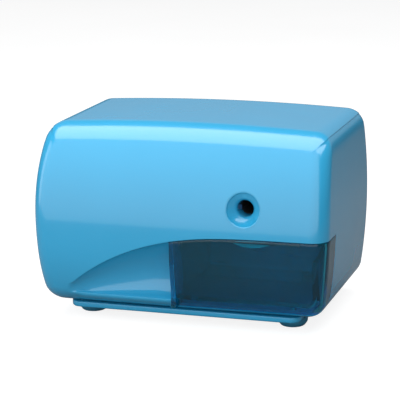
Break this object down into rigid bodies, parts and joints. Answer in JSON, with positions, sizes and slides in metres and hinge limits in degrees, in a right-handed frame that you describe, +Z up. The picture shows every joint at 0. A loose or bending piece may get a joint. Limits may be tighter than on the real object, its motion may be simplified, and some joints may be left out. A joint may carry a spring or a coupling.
{
  "type": "electric pencil sharpener",
  "caption": "Desk pencil sharpener with a rounded housing, pencil mouth, finger scoop, clear shavings drawer, motor, gears and a planetary helical cutter.",
  "frame": {"origin": "on the desk surface under the middle of the housing", "axes": "+Z up, front with the pencil mouth faces -Y, +X to the right seen from the front"},
  "size_m": [0.16, 0.1045, 0.1055],
  "materials": {
    "housing_blue": "glossy moulded light blue",
    "drawer_clear": "clear dark blue, polished",
    "foot_rubber": "satin teal rubber",
    "black_plastic": "matt black",
    "dark_plastic": "satin dark grey",
    "white_nylon": "natural nylon",
    "red_plastic": "red",
    "screw_steel": "zinc plated",
    "ground_steel": "ground",
    "plated_sheet": "zinc plated sheet",
    "core_steel": "stamped laminations",
    "ferrite": "dull dark ferrite",
    "bronze": "sintered bronze",
    "copper_wire": "enamelled copper wire",
    "carbon": "pressed carbon",
    "board_green": "green solder mask",
    "lead_red": "insulated lead",
    "lead_black": "insulated lead"
  },
  "bodies": {
    "housing": {"front_housing": "housing_blue", "rear_cover": "housing_blue", "base_plate": "housing_blue", "pencil_guide": "housing_blue", "foot_front_left": "foot_rubber", "foot_rear_left": "foot_rubber", "foot_front_right": "foot_rubber", "foot_rear_right": "foot_rubber", "cord_gland": "black_plastic", "bridge_rectifier": "black_plastic", "capacitor": "black_plastic", "start_switch": "black_plastic", "interlock_switch": "black_plastic", "chassis": "dark_plastic", "motor_end_bell": "dark_plastic", "terminal_block": "dark_plastic", "ring_gear": "white_nylon", "base_screw_1": "screw_steel", "base_screw_2": "screw_steel", "base_screw_3": "screw_steel", "base_screw_4": "screw_steel", "rear_screw_1": "screw_steel", "rear_screw_2": "screw_steel", "rear_screw_3": "screw_steel", "rear_screw_4": "screw_steel", "cover_screw_1": "screw_steel", "cover_screw_2": "screw_steel", "cover_screw_3": "screw_steel", "cover_screw_4": "screw_steel", "motor_screw_1": "screw_steel", "motor_screw_2": "screw_steel", "idler_pin": "ground_steel", "bulkhead": "plated_sheet", "gear_cover": "plated_sheet", "motor_can": "plated_sheet", "magnet_upper": "ferrite", "magnet_lower": "ferrite", "front_bush": "bronze", "rear_bush": "bronze", "cover_bush": "bronze", "brush_left": "carbon", "brush_right": "carbon", "circuit_board": "board_green", "motor_lead_red": "lead_red", "motor_lead_black": "lead_black"},
    "drawer": {"shavings_drawer": "drawer_clear"},
    "carrier": {"cutter_carrier": "dark_plastic", "carrier_gear": "white_nylon", "cutter_pin": "ground_steel"},
    "cutter": {"helical_cutter": "ground_steel", "cutter_pinion": "bronze"},
    "idler": {"idler_gear": "white_nylon"},
    "rotor": {"motor_shaft": "ground_steel", "armature_core": "core_steel", "armature_winding": "copper_wire", "commutator": "bronze", "motor_pinion": "bronze"},
    "feeler": {"start_feeler": "white_nylon"},
    "start_button": {"start_plunger": "red_plastic"},
    "interlock_button": {"interlock_plunger": "red_plastic"}
  },
  "joints": [
    {"name": "drawer_slide", "type": "slide", "parent": "housing", "child": "drawer", "axis": [0, -1, 0], "range_m": [0, 0.075]},
    {"name": "rotor_spin", "type": "hinge", "parent": "housing", "child": "rotor", "pos_m": [-0.024, 0, 0.062], "axis": [0, 1, 0], "continuous": true},
    {"name": "idler_spin", "type": "hinge", "parent": "housing", "child": "idler", "pos_m": [0.00407, 0.0275, 0.07259], "axis": [0, 1, 0], "continuous": true},
    {"name": "carrier_spin", "type": "hinge", "parent": "housing", "child": "carrier", "pos_m": [0.0365, 0, 0.0665], "axis": [0, 1, 0], "continuous": true},
    {"name": "cutter_spin", "type": "hinge", "parent": "carrier", "child": "cutter", "pos_m": [0.0365, 0.03744, 0.0665], "axis": [0, 0.9816, -0.1908], "continuous": true},
    {"name": "feeler_slide", "type": "slide", "parent": "housing", "child": "feeler", "axis": [-1, 0, 0], "range_m": [0, 0.0012], "stiffness_N_per_m": 300},
    {"name": "start_button_press", "type": "slide", "parent": "housing", "child": "start_button", "axis": [-1, 0, 0], "range_m": [0, 0.0012]},
    {"name": "interlock_button_press", "type": "slide", "parent": "housing", "child": "interlock_button", "axis": [0, -1, 0], "range_m": [0, 0.0015]}
  ],
  "couplings": [
    {"joint": "rotor_spin", "follows": "carrier_spin", "ratio": 18},
    {"joint": "idler_spin", "follows": "carrier_spin", "ratio": -4.5},
    {"joint": "cutter_spin", "follows": "carrier_spin", "ratio": -3.3333},
    {"joint": "start_button_press", "follows": "feeler_slide", "ratio": 1},
    {"joint": "interlock_button_press", "follows": "drawer_slide", "ratio": 0.02}
  ]
}
